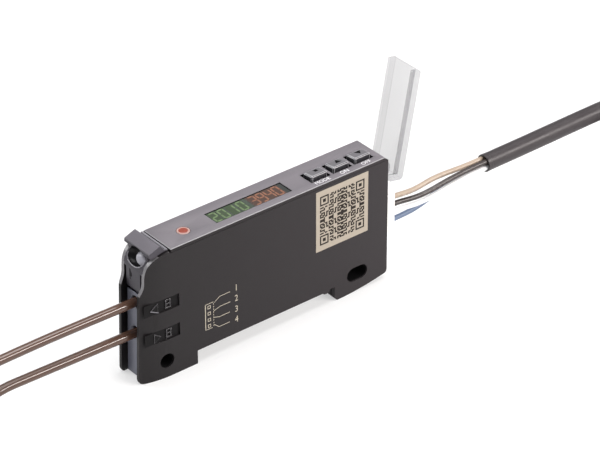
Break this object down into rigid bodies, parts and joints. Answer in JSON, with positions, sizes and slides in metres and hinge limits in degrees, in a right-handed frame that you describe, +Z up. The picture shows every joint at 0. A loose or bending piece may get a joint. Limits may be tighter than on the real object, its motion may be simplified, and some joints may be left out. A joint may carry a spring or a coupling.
{
  "type": "fibre optic sensor amplifier",
  "caption": "Slim rail-mounted amplifier for optical fibres, with a hinged clear lid, digital display, push keys, fibre lock lever, fibres with sensing heads and a plug-in cable.",
  "frame": {"origin": "middle of the underside of the box around the amplifier with its lid open, on the surface that its feet stand on", "axes": "+X along the case towards the cable end, +Y across it towards the far side, +Z up through the display"},
  "size_m": [0.3335, 0.029, 0.0465],
  "materials": {
    "case": "fine matt moulded charcoal plastic",
    "block": "satin bluish grey plastic",
    "panel": "satin grey plastic",
    "key": "satin grey plastic",
    "lens": "smooth smoked plastic",
    "display": "black display body with lit segments",
    "amber": "translucent orange plastic, lit",
    "clear": "clear colourless plastic",
    "white_plastic": "white moulded plastic",
    "header": "cream moulded plastic",
    "board": "green solder mask",
    "chip": "black moulding compound",
    "opto": "dark clear resin",
    "steel": "plain spring steel",
    "plated": "nickel plated brass",
    "brown_wire": "brown insulation",
    "black_wire": "black insulation",
    "white_wire": "white insulation",
    "blue_wire": "blue insulation",
    "sheath": "dark grey cable sheath",
    "fibre": "brown plastic fibre jacket",
    "tie": "black nylon"
  },
  "bodies": {
    "amplifier": {"side_cover": "case", "main_case": "case", "rail_spring": "steel", "fibre_block": "block", "fibre_clamp": "block", "emitter_element": "opto", "receiver_element": "opto", "lever_pin": "steel", "top_panel": "panel", "display_lens": "lens", "display_module": "display", "status_lens": "amber", "status_led": "header", "switch_mode": "chip", "switch_on": "chip", "switch_off": "chip", "display_board": "board", "main_board": "board", "processor_chip": "chip", "header": "header", "plug": "white_plastic", "wire_brown": "brown_wire", "wire_black": "black_wire", "wire_white": "white_wire", "wire_blue": "blue_wire", "cable_sheath": "sheath", "cable_hank": "sheath", "cable_tie": "tie", "cable_tail": "sheath", "lead_brown": "brown_wire", "lead_black": "black_wire", "lead_white": "white_wire", "lead_blue": "blue_wire", "fibre_upper": "fibre", "fibre_lower": "fibre", "fibre_upper_hank": "fibre", "fibre_lower_hank": "fibre", "fibre_tie": "tie", "fibre_upper_end": "fibre", "fibre_lower_end": "fibre", "head_upper": "plated", "head_lower": "plated", "nut_upper": "plated", "nut_lower": "plated"},
    "lid": {"cover": "clear"},
    "lever": {"lock_lever": "panel"},
    "key_mode_body": {"key_mode": "key"},
    "key_on_body": {"key_on": "key"},
    "key_off_body": {"key_off": "key"}
  },
  "joints": [
    {"name": "lid_hinge", "type": "hinge", "parent": "amplifier", "child": "lid", "pos_m": [0.02603, 0, 0.0259], "axis": [0, -1, 0], "range_deg": [0, 100.6]},
    {"name": "lever_hinge", "type": "hinge", "parent": "amplifier", "child": "lever", "pos_m": [-0.03257, 0, 0.021], "axis": [0, -1, 0], "range_deg": [0, 65]},
    {"name": "key_mode_press", "type": "slide", "parent": "amplifier", "child": "key_mode_body", "axis": [0, 0, -1], "range_m": [0, 0.0004], "stiffness_N_per_m": 900},
    {"name": "key_on_press", "type": "slide", "parent": "amplifier", "child": "key_on_body", "axis": [0, 0, -1], "range_m": [0, 0.0004], "stiffness_N_per_m": 900},
    {"name": "key_off_press", "type": "slide", "parent": "amplifier", "child": "key_off_body", "axis": [0, 0, -1], "range_m": [0, 0.0004], "stiffness_N_per_m": 900}
  ]
}
